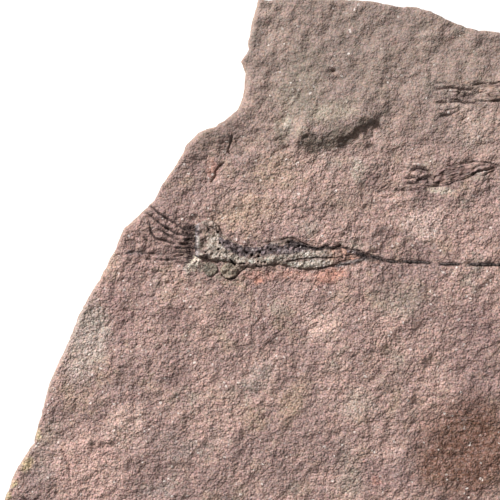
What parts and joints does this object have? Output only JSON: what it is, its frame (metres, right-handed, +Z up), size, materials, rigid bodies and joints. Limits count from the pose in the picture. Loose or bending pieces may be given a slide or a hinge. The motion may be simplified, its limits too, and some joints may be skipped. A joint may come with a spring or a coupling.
{
  "type": "fossil eocrinoid slab",
  "caption": "Flat broken slab of fine sandstone with fossil eocrinoids set in its top: plated bodies, thin arms and long broken stems.",
  "frame": {"origin": "on the underside, below the middle of the slab's bounding box", "axes": "+X along the slab's long side, from the arms of the largest animal towards its stem; +Y across the slab towards its narrow top end; +Z up out of the face that holds the fossils"},
  "size_m": [0.1688, 0.1512, 0.0159],
  "materials": {
    "sandstone": "matte",
    "fossil_plates": "matte",
    "matrix_lump": "matte",
    "iron_stained_fossil": "matte"
  },
  "bodies": {
    "root": {"matrix_slab": "sandstone", "theca": "fossil_plates", "round_nodule": "matrix_lump", "flat_nodule": "matrix_lump", "second_theca": "iron_stained_fossil", "third_theca": "fossil_plates", "brachiole_1": "iron_stained_fossil", "brachiole_2": "iron_stained_fossil", "brachiole_3": "iron_stained_fossil", "brachiole_4": "iron_stained_fossil", "brachiole_5": "iron_stained_fossil", "brachiole_6": "iron_stained_fossil", "brachiole_7": "iron_stained_fossil", "brachiole_8": "iron_stained_fossil", "brachiole_9": "iron_stained_fossil", "stem_1": "iron_stained_fossil", "stem_2": "iron_stained_fossil", "stem_3": "iron_stained_fossil", "stem_4": "iron_stained_fossil", "stem_5": "iron_stained_fossil", "stem_6": "iron_stained_fossil", "second_brachiole_1": "iron_stained_fossil", "second_brachiole_2": "iron_stained_fossil", "second_brachiole_3": "iron_stained_fossil", "second_brachiole_4": "iron_stained_fossil", "second_brachiole_5": "iron_stained_fossil", "second_stem_1": "iron_stained_fossil", "second_stem_2": "iron_stained_fossil", "third_brachiole_1": "iron_stained_fossil", "third_brachiole_2": "iron_stained_fossil", "third_brachiole_3": "iron_stained_fossil", "third_brachiole_4": "iron_stained_fossil", "third_brachiole_5": "iron_stained_fossil", "third_stem_1": "iron_stained_fossil", "third_stem_2": "iron_stained_fossil"}
  },
  "joints": []
}
